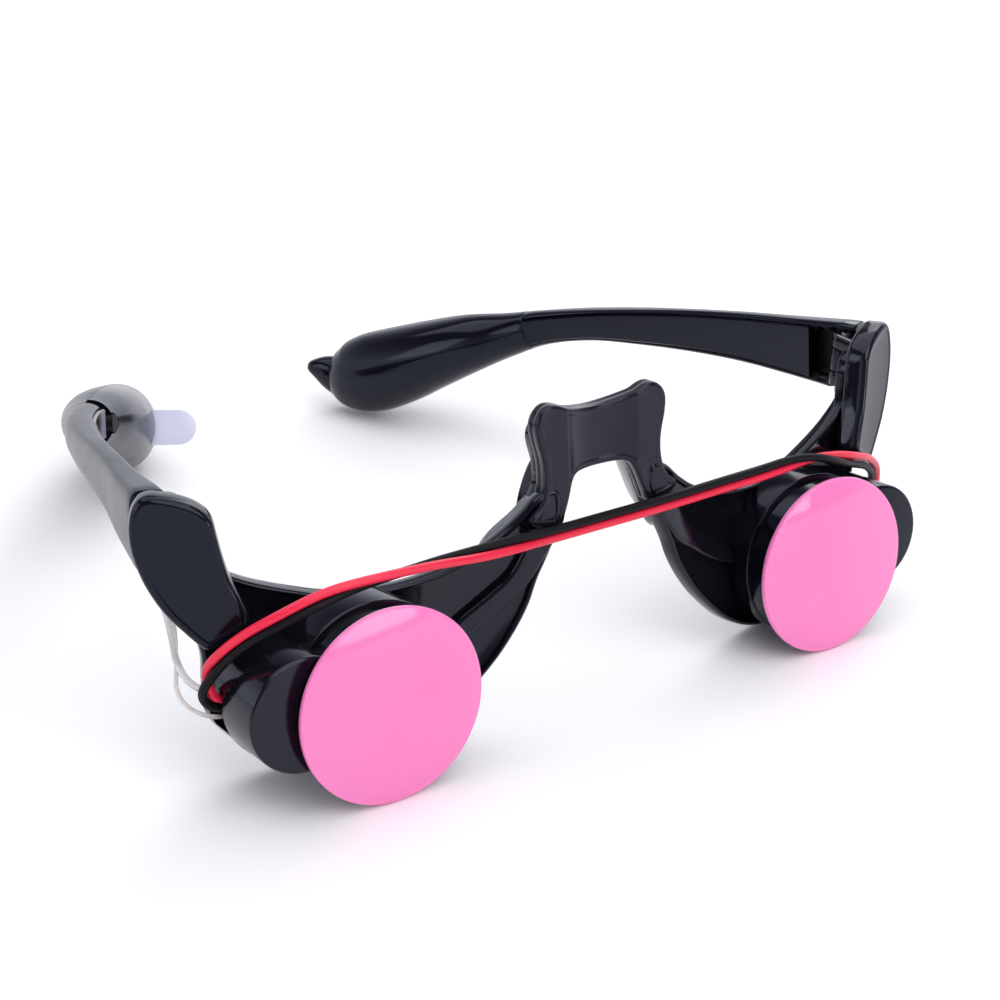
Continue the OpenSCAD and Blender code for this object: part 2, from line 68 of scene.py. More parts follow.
def lampf(p):
    x, y, z = p
    return (x, y * cos(TILT) + z * sin(TILT) - Y_MID, -y * sin(TILT) + z * cos(TILT) + ZC)


def platef(p):
    u, v, z = p
    return lampf((20 + u * cos(YAW) - v * sin(YAW), 8 + u * sin(YAW) + v * cos(YAW), z))


def endf(p):
    u, v, z = p
    return lampf((62.5 + u * cos(END_YAW) - v * sin(END_YAW), 12.2 + u * sin(END_YAW) + v * cos(END_YAW), z))


def pu(P):
    return [((p[0] - 20) / cos(YAW), p[1]) for p in P]


def eu(P):
    return [((p[0] - 62.5) / cos(END_YAW), p[1]) for p in P]


def flip(p):
    return (-p[0], p[1], p[2])


# ---------------------------------------------------------------- camera
cam = bpy.data.cameras.new("camera")
cam.lens = 68.65
cam.sensor_width = 36.0
cam.sensor_fit = "HORIZONTAL"
cam.clip_start = 0.01
cam.clip_end = 50
cam_o = bpy.data.objects.new("camera", cam)
bpy.context.scene.collection.objects.link(cam_o)
RIGHT = Vector((0.829, -0.5586, 0.0215)).normalized()
FWD = Vector((0.5137, 0.7462, -0.4236)).normalized()
UP = RIGHT.cross(FWD).normalized()
RIGHT = FWD.cross(UP).normalized()
M = Matrix.Identity(4)
for i in range(3):
    M[i][0], M[i][1], M[i][2] = RIGHT[i], UP[i], -FWD[i]
M[0][3], M[1][3], M[2][3] = -168.6 * MM, (-207.8 - Y_MID) * MM, 162.6 * MM
cam_o.matrix_world = M
bpy.context.scene.camera = cam_o

# ---------------------------------------------------------------- materials


def nodes_of(name):
    m = bpy.data.materials.new(name)
    m.use_nodes = True
    nt = m.node_tree
    b = nt.nodes.get("Principled BSDF")
    return m, nt, b


def coords(nt, scale=(1, 1, 1)):
    tc = nt.nodes.new("ShaderNodeTexCoord")
    mp = nt.nodes.new("ShaderNodeMapping")
    mp.inputs["Scale"].default_value = scale
    nt.links.new(tc.outputs["Object"], mp.inputs["Vector"])
    return mp.outputs["Vector"]


def noise(nt, vec, scale, detail=4, rough=0.55):
    n = nt.nodes.new("ShaderNodeTexNoise")
    n.inputs["Scale"].default_value = scale
    n.inputs["Detail"].default_value = detail
    n.inputs["Roughness"].default_value = rough
    nt.links.new(vec, n.inputs["Vector"])
    return n.outputs["Fac"]


def ramp(nt, fac, stops):
    r = nt.nodes.new("ShaderNodeValToRGB")
    e = r.color_ramp.elements
    e[0].position, e[0].color = stops[0][0], (*stops[0][1], 1)
    e[1].position, e[1].color = stops[-1][0], (*stops[-1][1], 1)
    for pos, c in stops[1:-1]:
        k = e.new(pos)
        k.color = (*c, 1)
    nt.links.new(fac, r.inputs["Fac"])
    return r.outputs["Color"]


def remap(nt, fac, lo, hi, a=0.0, b=1.0):
    r = nt.nodes.new("ShaderNodeMapRange")
    r.inputs["From Min"].default_value = a
    r.inputs["From Max"].default_value = b
    r.inputs["To Min"].default_value = lo
    r.inputs["To Max"].default_value = hi
    nt.links.new(fac, r.inputs["Value"])
    return r.outputs["Result"]


def bump(nt, b, height, strength, dist):
    n = nt.nodes.new("ShaderNodeBump")
    n.inputs["Strength"].default_value = strength
    n.inputs["Distance"].default_value = dist
    nt.links.new(height, n.inputs["Height"])
    nt.links.new(n.outputs["Normal"], b.inputs["Normal"])


def moulded(name, dark, light, r0, r1, spec=0.5, ior=1.5, coat=0.0, wave=0.25, tint=(1, 1, 1)):
    """Moulded plastic: slow colour drift, faint flow waviness, fine dust."""
    m, nt, b = nodes_of(name)
    v = coords(nt)
    big = noise(nt, v, 26, 3, 0.5)
    fine = noise(nt, v, 900, 3, 0.6)
    c = ramp(nt, big, [(0.3, dark), (0.7, light)])
    nt.links.new(c, b.inputs["Base Color"])
    nt.links.new(remap(nt, noise(nt, v, 70, 5, 0.6), r0, r1, 0.25, 0.75), b.inputs["Roughness"])
    b.inputs["Specular IOR Level"].default_value = spec
    b.inputs["IOR"].default_value = ior
    b.inputs["Specular Tint"].default_value = (*tint, 1)
    b.inputs["Coat Weight"].default_value = coat
    b.inputs["Coat Roughness"].default_value = 0.03
    mix = nt.nodes.new("ShaderNodeMath")
    mix.operation = "MULTIPLY_ADD"
    nt.links.new(fine, mix.inputs[0])
    mix.inputs[1].default_value = 0.02
    nt.links.new(noise(nt, v, 55, 2, 0.4), mix.inputs[2])
    bump(nt, b, mix.outputs[0], wave, 0.0002)
    return m


BLUE = (0.84, 0.86, 1.0)
BLACK = moulded("black_gloss", (0.0035, 0.0035, 0.006), (0.0055, 0.0055, 0.009), 0.08, 0.14, spec=0.38, wave=0.14, tint=(0.80, 0.83, 1.0))
# painted light: the next three materials are lighter, rougher copies of the same black plastic, the first two for the
# left temple shell and its tip cover, the third for the bridge cover
BLACK_LIT = moulded("black_painted_light", (0.004, 0.004, 0.008), (0.006, 0.006, 0.011), 0.24, 0.33, spec=0.44, wave=0.14, tint=(0.72, 0.77, 1.0))
BLACK_LIT2 = moulded("black_painted_light_tip", (0.004, 0.004, 0.008), (0.006, 0.006, 0.011), 0.2, 0.29, spec=0.6, wave=0.1, tint=(0.70, 0.76, 1.0))
BLACK_LIT_BRIDGE = moulded("black_painted_light_bridge", (0.007, 0.007, 0.013), (0.010, 0.010, 0.017), 0.17, 0.24, spec=0.33, wave=0.12, tint=BLUE)
# painted shade: a darker copy of the same black plastic, for parts and sides that should look more shaded
BLACK_SHADED = moulded("black_painted_shade", (0.0025, 0.0025, 0.005), (0.004, 0.004, 0.008), 0.1, 0.16, spec=0.3, wave=0.12, tint=(0.74, 0.79, 1.0))
INSIDE = moulded("black_inside", (0.004, 0.004, 0.006), (0.007, 0.007, 0.009), 0.42, 0.55, spec=0.2, wave=0.2)
RED_W = moulded("red_insulation", (0.74, 0.010, 0.042), (0.84, 0.016, 0.062), 0.26, 0.38, spec=0.42, wave=0.25)
BLACK_W = moulded("black_insulation", (0.004, 0.0035, 0.005), (0.007, 0.006, 0.008), 0.4, 0.5, spec=0.14, wave=0.25)


def pink_material():
    m, nt, b = nodes_of("pink_cover")
    v = coords(nt)
    big = noise(nt, v, 40, 3, 0.5)
    c = ramp(nt, big, [(0.25, (0.96, 0.215, 0.50)), (0.75, (0.975, 0.245, 0.535))])
    nt.links.new(c, b.inputs["Base Color"])
    nt.links.new(remap(nt, noise(nt, v, 120, 4, 0.6), 0.05, 0.1, 0.25, 0.75), b.inputs["Roughness"])
    b.inputs["Specular IOR Level"].default_value = 0.5
    b.inputs["Subsurface Weight"].default_value = 0.25
    b.inputs["Subsurface Radius"].default_value = (0.004, 0.0015, 0.003)
    b.inputs["Subsurface Scale"].default_value = 1.0
    bump(nt, b, noise(nt, v, 60, 2, 0.4), 0.08, 0.0002)
    return m


PINK = pink_material()


def clear_material(name, tint, rough, alpha):
    m, nt, b = nodes_of(name)
    v = coords(nt)
    c = ramp(nt, noise(nt, v, 160, 3, 0.5), [(0.3, tint), (0.7, tuple(min(1, t * 1.05) for t in tint))])
    nt.links.new(c, b.inputs["Base Color"])
    nt.links.new(remap(nt, noise(nt, v, 300, 3, 0.5), rough, rough + 0.08, 0.25, 0.75), b.inputs["Roughness"])
    b.inputs["Transmission Weight"].default_value = alpha
    b.inputs["IOR"].default_value = 1.4
    bump(nt, b, noise(nt, v, 500, 2, 0.5), 0.1, 0.0001)
    return m


CLEAR = clear_material("clear_insulation", (0.84, 0.83, 0.82), 0.16, 0.6)
CLEAR2 = clear_material("clear_insulation_thin", (0.86, 0.80, 0.76), 0.16, 0.55)
TAB = clear_material("tab_film", (0.80, 0.82, 0.97), 0.12, 0.35)
LED_M = clear_material("led_epoxy", (0.93, 0.95, 0.97), 0.04, 0.9)


def metal(name, a, b_, rough, scale):
    m, nt, b = nodes_of(name)
    v = coords(nt, scale)
    c = ramp(nt, noise(nt, v, 300, 5, 0.6), [(0.3, a), (0.7, b_)])
    nt.links.new(c, b.inputs["Base Color"])
    b.inputs["Metallic"].default_value = 1.0
    nt.links.new(remap(nt, noise(nt, v, 500, 4, 0.6), rough, rough + 0.12, 0.25, 0.75), b.inputs["Roughness"])
    bump(nt, b, noise(nt, v, 900, 3, 0.6), 0.15, 0.00005)
    return m


PIN_M = metal("pin_steel", (0.52, 0.50, 0.47), (0.66, 0.63, 0.58), 0.22, (1, 1, 0.15))
CELL_M = metal("cell_steel", (0.10, 0.10, 0.115), (0.14, 0.14, 0.16), 0.38, (1, 1, 1))
SPRING_M = metal("spring_steel", (0.66, 0.66, 0.67), (0.78, 0.78, 0.79), 0.15, (1, 1, 1))
BRASS_M = metal("contact_metal", (0.16, 0.13, 0.08), (0.20, 0.16, 0.10), 0.38, (1, 1, 1))


def board_material():
    m, nt, b = nodes_of("board_green")
    v = coords(nt)
    w = nt.nodes.new("ShaderNodeTexVoronoi")
    w.feature = "DISTANCE_TO_EDGE"
    w.inputs["Scale"].default_value = 520
    nt.links.new(v, w.inputs["Vector"])
    c = ramp(nt, w.outputs["Distance"], [(0.03, (0.07, 0.27, 0.10)), (0.12, (0.02, 0.13, 0.05))])
    nt.links.new(c, b.inputs["Base Color"])
    b.inputs["Roughness"].default_value = 0.35
    bump(nt, b, w.outputs["Distance"], 0.2, 0.00005)
    return m


BOARD_M = board_material()
CHIP_M = moulded("chip_epoxy", (0.012, 0.012, 0.012), (0.022, 0.022, 0.022), 0.25, 0.4, wave=0.5)
INNER_M = moulded("inner_plastic", (0.030, 0.030, 0.034), (0.045, 0.045, 0.05), 0.35, 0.5, wave=0.3)

# ---------------------------------------------------------------- mesh tools


def cr(a, b, c, d, t):
    a, b, c, d = map(np.asarray, (a, b, c, d))
    return 0.5 * ((2 * b) + (c - a) * t + (2 * a - 5 * b + 4 * c - d) * t * t + (3 * b - a - 3 * c + d) * t ** 3)


def loop_pts(P, n):
    L = len(P)
    return [cr(P[i - 1], P[i], P[(i + 1) % L], P[(i + 2) % L], j / n) for i in range(L) for j in range(n)]


def line_pts(P, n):
    L = len(P)
    out = [cr(P[max(i - 1, 0)], P[i], P[i + 1], P[min(i + 2, L - 1)], j / n) for i in range(L - 1) for j in range(n)]
    return out + [np.asarray(P[-1], float)]


def even(P, step, closed=True):
    """The same curve with points an equal step apart."""
    P = np.array(P, float)
    Q = np.vstack([P, P[:1]]) if closed else P
    s = np.r_[0, np.cumsum(np.linalg.norm(np.diff(Q, axis=0), axis=1))]
    n = max(8, int(round(s[-1] / step)))
    t = np.linspace(0, s[-1], n + 1)
    R = np.stack([np.interp(t, s, Q[:, k]) for k in range(Q.shape[1])], 1)
    return R[:-1] if closed else R


def area2(P):
    x, y = P[:, 0], P[:, 1]
    return 0.5 * np.sum(x * np.roll(y, -1) - np.roll(x, -1) * y)


def smooth_loop(P, k, times=1):
    for _ in range(times):
        P = P + k * (0.5 * (np.roll(P, 1, 0) + np.roll(P, -1, 0)) - P)
    return P


def untangle(P, reach=34):
    """Folds the small loops that an inset makes at tight corners back onto their crossing point."""
    def side(o, a, b):
        return (a[:, 0] - o[:, 0]) * (b[:, 1] - o[:, 1]) - (a[:, 1] - o[:, 1]) * (b[:, 0] - o[:, 0])
    n = len(P)
    for k in range(min(reach, n // 3), 1, -1):
        A, B = P, np.roll(P, -1, 0)
        C, D = np.roll(A, -k, 0), np.roll(B, -k, 0)
        hit = (side(A, B, C) * side(A, B, D) < 0) & (side(C, D, A) * side(C, D, B) < 0)
        for i in np.where(hit)[0]:
            a, b, c, d = A[i], B[i], C[i], D[i]
            den = (b[0] - a[0]) * (d[1] - c[1]) - (b[1] - a[1]) * (d[0] - c[0])
            if abs(den) < 1e-12:
                continue
            t = ((c[0] - a[0]) * (d[1] - c[1]) - (c[1] - a[1]) * (d[0] - c[0])) / den
            X = a + t * (b - a)
            P = P.copy()
            for j in range(1, k + 1):
                P[(i + j) % n] = X
    return P


def inset(P, d, step=0.12):
    """Moves a closed outline inwards by d, in small steps."""
    P = np.array(P, float)
    s = 1 if area2(P) > 0 else -1
    left = abs(d)
    sg = 1 if d >= 0 else -1
    while left > 1e-9:
        h = min(step, left)
        T = np.roll(P, -1, 0) - np.roll(P, 1, 0)
        T /= np.linalg.norm(T, axis=1)[:, None] + 1e-12
        N = np.stack([-T[:, 1], T[:, 0]], 1) * s
        P = untangle(P + N * h * sg)
        P = smooth_loop(P, 0.22, 1)
        left -= h
    return P


def to_object(name, bm, mat, smooth=True, angle=32, merge=1e-6):
    bmesh.ops.remove_doubles(bm, verts=bm.verts[:], dist=merge)
    bmesh.ops.recalc_face_normals(bm, faces=bm.faces[:])
    me = bpy.data.meshes.new(name)
    bm.to_mesh(me)
    bm.free()
    o = bpy.data.objects.new(name, me)
    bpy.context.scene.collection.objects.link(o)
    me.materials.append(mat)
    for p in me.polygons:
        p.use_smooth = smooth
    if smooth:
        try:
            me.set_sharp_from_angle(angle=radians(angle))
        except Exception:
            pass
    return o


def slab(bm, outline, rings, xf, cap=(True, True)):
    """A plate with a rolled edge. rings: (inset, depth) from the front cap over the edge to the back cap.
    depth may be a function of (u, z)."""
    P = np.array(outline, float)
    if area2(P) < 0:
        P = P[::-1]
    made = {0.0: P}
    for d in sorted({r[0] for r in rings if r[0] > 0}):
        base = max(k for k in made if k < d)
        made[d] = inset(made[base], d - base)
    for d in sorted({r[0] for r in rings if r[0] < 0}, reverse=True):
        base = min(k for k in made if k > d)
        made[d] = inset(made[base], d - base)
    rows = []
    for d, v in rings:
        Q = made[d]
        rows.append([bm.verts.new(Vector(xf((q[0], v(q[0], q[1]) if callable(v) else v, q[1]))) * MM) for q in Q])
    n = len(P)
    for a, b in zip(rows[:-1], rows[1:]):
        for k in range(n):
            bm.faces.new((a[k], a[(k + 1) % n], b[(k + 1) % n], b[k]))
    if cap[0]:
        bm.faces.new(rows[0])
    if cap[1]:
        bm.faces.new(rows[-1][::-1])
    return rows


def circle(cx, cz, r, n=96):
    return [(cx + r * cos(2 * pi * k / n), cz + r * sin(2 * pi * k / n)) for k in range(n)]


def rolled(r, front, back, steps=4, edge_back=None):
    """Ring list of a rounded front edge of radius r and a plain or rounded back edge."""
    out = [(r * (1 - sin(a)), front + r * (1 - cos(a))) for a in [pi / 2 * k / steps for k in range(steps + 1)]]
    out = [(round(r * (1 - sin(pi / 2 * k / steps)), 5), front + r * (1 - cos(pi / 2 * k / steps))) for k in range(steps + 1)]
    e = r if edge_back is None else edge_back
    if e > 0:
        out += [(round(e * (1 - cos(pi / 2 * k / steps)), 5), back - e * (1 - sin(pi / 2 * k / steps))) for k in range(steps + 1)]
    else:
        out += [(0.0, back)]
    return out


def bevelled(o, width, angle=35, segments=3):
    m = o.modifiers.new("bevel", "BEVEL")
    m.width = width * MM
    m.segments = segments
    m.limit_method = "ANGLE"
    m.angle_limit = radians(angle)
    m.harden_normals = False
    bpy.context.view_layer.objects.active = o
    dg = bpy.context.evaluated_depsgraph_get()
    me = bpy.data.meshes.new_from_object(o.evaluated_get(dg))
    o.modifiers.clear()
    o.data = me
    for p in me.polygons:
        p.use_smooth = True
    me.set_sharp_from_angle(angle=radians(40))
    return o


def boxm(bm, lo, hi, xf):
    """An axis-aligned box in a local frame."""
    vs = [bm.verts.new(Vector(xf((x, y, z))) * MM) for x in (lo[0], hi[0]) for y in (lo[1], hi[1]) for z in (lo[2], hi[2])]
    for f in ((0, 1, 3, 2), (4, 6, 7, 5), (0, 4, 5, 1), (2, 3, 7, 6), (0, 2, 6, 4), (1, 5, 7, 3)):
        bm.faces.new([vs[i] for i in f])


def cut(o, cutter):
    """Takes cutter out of o, and removes the cutter."""
    m = o.modifiers.new("cut", "BOOLEAN")
    m.operation = "DIFFERENCE"
    m.solver = "EXACT"
    m.object = cutter
    dg = bpy.context.evaluated_depsgraph_get()
    me = bpy.data.meshes.new_from_object(o.evaluated_get(dg))
    o.modifiers.clear()
    o.data = me
    bpy.data.objects.remove(cutter)
    for p in me.polygons:
        p.use_smooth = True
    me.set_sharp_from_angle(angle=radians(35))
    return o


def tube_mesh(bm, P, r, n=14, ref=(0, 1, 0.3), caps=True):
    P = [Vector(p) for p in P]
    ref = Vector(ref)
    rows = []
    for i, p in enumerate(P):
        t = (P[min(i + 1, len(P) - 1)] - P[max(i - 1, 0)]).normalized()
        u = (ref - t * ref.dot(t)).normalized()
        v = t.cross(u)
        rows.append([bm.verts.new((p + u * (r * cos(2 * pi * k / n)) + v * (r * sin(2 * pi * k / n))) * MM) for k in range(n)])
    for a, b in zip(rows[:-1], rows[1:]):
        for k in range(n):
            bm.faces.new((a[k], a[(k + 1) % n], b[(k + 1) % n], b[k]))
    if caps:
        bm.faces.new(rows[0][::-1])
        bm.faces.new(rows[-1])


def joined(name, objs, mat=None):
    """One object out of several."""
    bm = bmesh.new()
    for o in objs:
        o.data.transform(o.matrix_world)
        bm.from_mesh(o.data)
    me = bpy.data.meshes.new(name)
    bm.to_mesh(me)
    bm.free()
    out = bpy.data.objects.new(name, me)
    bpy.context.scene.collection.objects.link(out)
    me.materials.append(mat or objs[0].data.materials[0])
    for p in me.polygons:
        p.use_smooth = True
        p.material_index = 0
    me.set_sharp_from_angle(angle=radians(35))
    for o in objs:
        bpy.data.objects.remove(o)
    return out


# ---------------------------------------------------------------- leads
PAIR = [(-64.4, 13.4, 15.6), (-66.6, 13.8, 16.6), (-67.4, 13.8, 19), (-66.9, 13.1, 21.8), (-65.2, 11.6, 24.8), (-62.4, 9.6, 27.8), (-58.2, 7.4, 30.6),
        (-52.4, 6, 32.9), (-45.8, 5.8, 33.7), (-34, 5.8, 33.7), (-25, 5.8, 33.3), (-17, 5.8, 33.1), (-10, 5.8, 33), (-2, 5.8, 33), (6, 5.8, 33), (14, 5.8, 33.1), (22, 5.8, 33.3),
        (31, 5.8, 33.5), (38.4, 5.8, 33.8), (43.4, 6, 33.3), (48, 6.6, 32), (52.4, 7.7, 30.4), (56.8, 9.2, 28.6), (61, 11, 26.6), (65.1, 13.2, 23.5), (67.3, 15, 20), (66.8, 15.2, 17.4), (64.4, 14.4, 15.6)]
LOOP_THICK = [(-64.4, 15.4, 16.9), (-66.4, 16.6, 16.9), (-67.8, 19.2, 17.8), (-68.2, 21.8, 20), (-67.8, 24, 23), (-67.8, 26.8, 27.6), (-69, 31.2, 34.6)]
LOOP_THIN = [(-64.4, 13.4, 13.6), (-66.8, 14, 13.9), (-68.8, 16.6, 14.6), (-69.3, 19.6, 16.2), (-67.9, 22.6, 19), (-66.7, 25.4, 23.6), (-66.5, 28.4, 29), (-68.3, 32.8, 34.8)]
LEAD_D = 1.4


def turn(s):
    return radians(float(np.interp(s, [0, 0.055, 0.135, 0.26, 0.42, 0.65, 0.79, 1], [-90, -90, 60, 80, 270, 270, 440, 450])))


def strand(side, n=6):
    P = [Vector(p) for p in line_pts(PAIR, n)]
    out = []
    for i, p in enumerate(P):
        t = (P[min(i + 1, len(P) - 1)] - P[max(i - 1, 0)]).normalized()
        u = (Vector((0, 1, 0)) - t * t.y).normalized()
        v = t.cross(u)
        a = turn(i / (len(P) - 1))
        out.append(row(p + (u * cos(a) + v * sin(a)) * (side * (LEAD_D / 2 + 0.03))))
    return out


def lead(name, P, d, mat, node, body, n=16):
    bm = bmesh.new()
    tube_mesh(bm, P, d / 2, n)
    o = to_object(name, bm, mat, angle=50)
    if isinstance(body, str):
        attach(o, body)
    else:
        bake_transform(o)
    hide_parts(node)
    return o


lead("red_lead", strand(1), LEAD_D, RED_W, "lead_red", "front")
lead("black_lead", strand(-1), LEAD_D, BLACK_W, "lead_black", "front")
lead("clear_lead_thick", [row(p) for p in line_pts(LOOP_THICK, 8)], 1.1, CLEAR, "lead_clear_thick", LOOP_THICK)
lead("clear_lead_thin", [row(p) for p in line_pts(LOOP_THIN, 8)], 0.7, CLEAR2, "lead_clear_thin", LOOP_THIN)

# ---------------------------------------------------------------- outlines
DISH_LOW = [(65.3, 8), (65.5, 3), (64.4, -2), (62, -6.5), (59, -9.9), (55, -12.2), (50, -13.2), (44, -13.4),
            (36, -12.8), (28.2, -9), (21.4, -3), (17.3, 2), (14.6, 6.5), (13, 10.5), (10.8, 14.8)]
WEB_TOP = [(8.8, 20), (9, 24.6), (12.4, 23.9), (15.6, 21.1), (19, 18.6), (23, 16.5), (28, 14.8), (34, 13.8), (40, 13.7), (46, 14.4),
           (51, 16), (55.2, 17.6), (58.6, 19.2), (62.4, 21.6), (64.5, 23.6), (66.5, 20), (66.5, 14)]
END_OUT = [(65.9, 32.7), (67.7, 33.7), (69.8, 34.4), (71.6, 34.8), (73, 34.4), (74, 33.1), (74.6, 31), (74.8, 28.4), (74.5, 25.4), (73.4, 21.2),
           (71.4, 16.8), (69, 13.4), (66.9, 10.8), (65.8, 10.3), (63.9, 11.3), (60.8, 13.2), (60.2, 14.6), (61.1, 17.6), (62.3, 21), (63, 24.5), (63.5, 28), (63.8, 30), (64.6, 31.5)]
BRIDGE = [(0, 35.9), (3.6, 36.3), (6.4, 37.1), (8.6, 38), (10.2, 38.1), (11.6, 37.2), (12.4, 35.8), (12.5, 34.4), (12.2, 32.4), (11.5, 29.6), (11.3, 27),
          (11.6, 24.6), (12.6, 22.4), (14, 21.1), (14.4, 20.2), (13.6, 19.3), (12, 18.8), (8.6, 18.5), (7.8, 20.3), (7, 22.4), (6.2, 24.5), (5.4, 25.6), (4.4, 26), (2.6, 26.1), (0, 26.1)]
BAR = [(0, 33), (4, 33.3), (8, 34.8), (10, 35), (11.1, 34.3), (11.6, 32.9), (11.4, 31), (10.8, 28.8), (10.6, 26.8), (10.8, 24.8), (12.4, 21.6), (12.2, 19), (9.4, 18.6), (8.6, 20.3), (7.9, 22.5), (7, 24.8), (5.9, 26), (4.4, 26.5), (0, 26.5)]
PAD = [(-0.5, 7.2), (1.4, 7.8), (3.2, 7), (4.7, 4.8), (5.5, 1.5), (5.6, -2.5), (4.9, -5.8), (2.8, -7.6), (-0.5, -7.8)]
LEDGE = [(9.4, 18.4), (14, 19), (15.4, 15.8), (17.6, 12.4), (20.5, 10.1), (23.5, 8.2), (26.6, 6.2), (29.4, 3.6), (31, 0.6), (27.4, 1.8),
         (23.4, 3.9), (20.5, 5.8), (18.2, 7.5), (16, 8.9), (14, 10.8), (12.2, 13.4), (10.9, 15.2)]


def both(P):
    P = [tuple(p) for p in P]
    return P + [(-p[0], p[1]) for p in reversed(P) if p[0] > 0.001]


def side_xf(xf, s):
    return (lambda p: flip(xf(p))) if s < 0 else xf


# ---------------------------------------------------------------- bridge


HOLLOW_R = 13.4


def y_front(x):
    """Depth of the bridge cover's face: flat feet and a hollow middle."""
    c = 6.85 - HOLLOW_R + sqrt(max(HOLLOW_R ** 2 - x * x, 0.0))
    k = 0.1
    e = (c - 5) / k
    return 5 + (k * log(1 + exp(e)) if e < 30 else c - 5)


def bridge_piece(name, outline, rings, off, xcuts):
    bm = bmesh.new()
    flat = slab(bm, outline, rings, lambda p: (p[0], p[1], p[2]))
    bmesh.ops.recalc_face_normals(bm, faces=bm.faces[:])
    for x in xcuts:
        bmesh.ops.bisect_plane(bm, geom=bm.verts[:] + bm.edges[:] + bm.faces[:], plane_co=(x * MM, 0, 0), plane_no=(1, 0, 0), dist=1e-7)
    for v in bm.verts:
        x, y, z = v.co.x / MM, v.co.y / MM, v.co.z / MM
        v.co = Vector(lampf((x, y + y_front(x) + off, z))) * MM
    return to_object(name, bm, BLACK, angle=38)


cuts = [k * 0.5 for k in range(-28, 29)] + [s * (6.8 + d) for s in (-1, 1) for d in (-0.5, -0.3, -0.15, 0, 0.15, 0.3, 0.5)]
b_out = even(loop_pts(both(BRIDGE), 6), 0.42)
b_rings = [(1.35, 0.07), (1.2, 0.065), (1.08, 0.03), (0.95, 0.0), (0.6, 0.0), (0.36, 0.04), (0.17, 0.14), (0.05, 0.3), (0.0, 0.55),
           (0.0, 1.52), (0.03, 1.57), (0.16, 1.6), (0.16, 1.66), (0.03, 1.69), (0.0, 1.74), (0.0, 2.5), (0.08, 2.84), (0.26, 3.06), (0.55, 3.17), (0.9, 3.2)]
bridge = bridge_piece("bridge_cover_look", b_out, b_rings, 0.0, cuts)
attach(bridge, "front")
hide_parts("bridge_cover")
# painted light: the bridge cover gets a lighter copy of the black plastic
bridge.data.materials[0] = BLACK_LIT_BRIDGE

# ---------------------------------------------------------------- endpieces
e_out = even(loop_pts(eu(END_OUT), 6), 0.42)
e_rings = [(1.6, 0.13), (1.45, 0.12), (1.3, 0.07), (1.15, 0.01), (0.98, 0.0), (0.75, 0.03), (0.48, 0.15), (0.22, 0.4), (0.06, 0.8), (0.0, 1.3),
           (0.0, 3.2), (0.08, 3.7), (0.3, 4.1), (0.65, 4.33), (1.05, 4.4)]
for s, tag in ((-1, "left"), (1, "right")):
    bm = bmesh.new()
    slab(bm, e_out, e_rings, side_xf(endf, s))
    # painted shade: the left endpiece cover gets the darker copy of the black plastic, the right one the plain black
    o = to_object("endpiece_cover_look_" + tag, bm, BLACK_SHADED if s < 0 else BLACK, angle=38)
    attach(o, "front")
    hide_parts("endpiece_cover_" + tag)

# ---------------------------------------------------------------- front frame


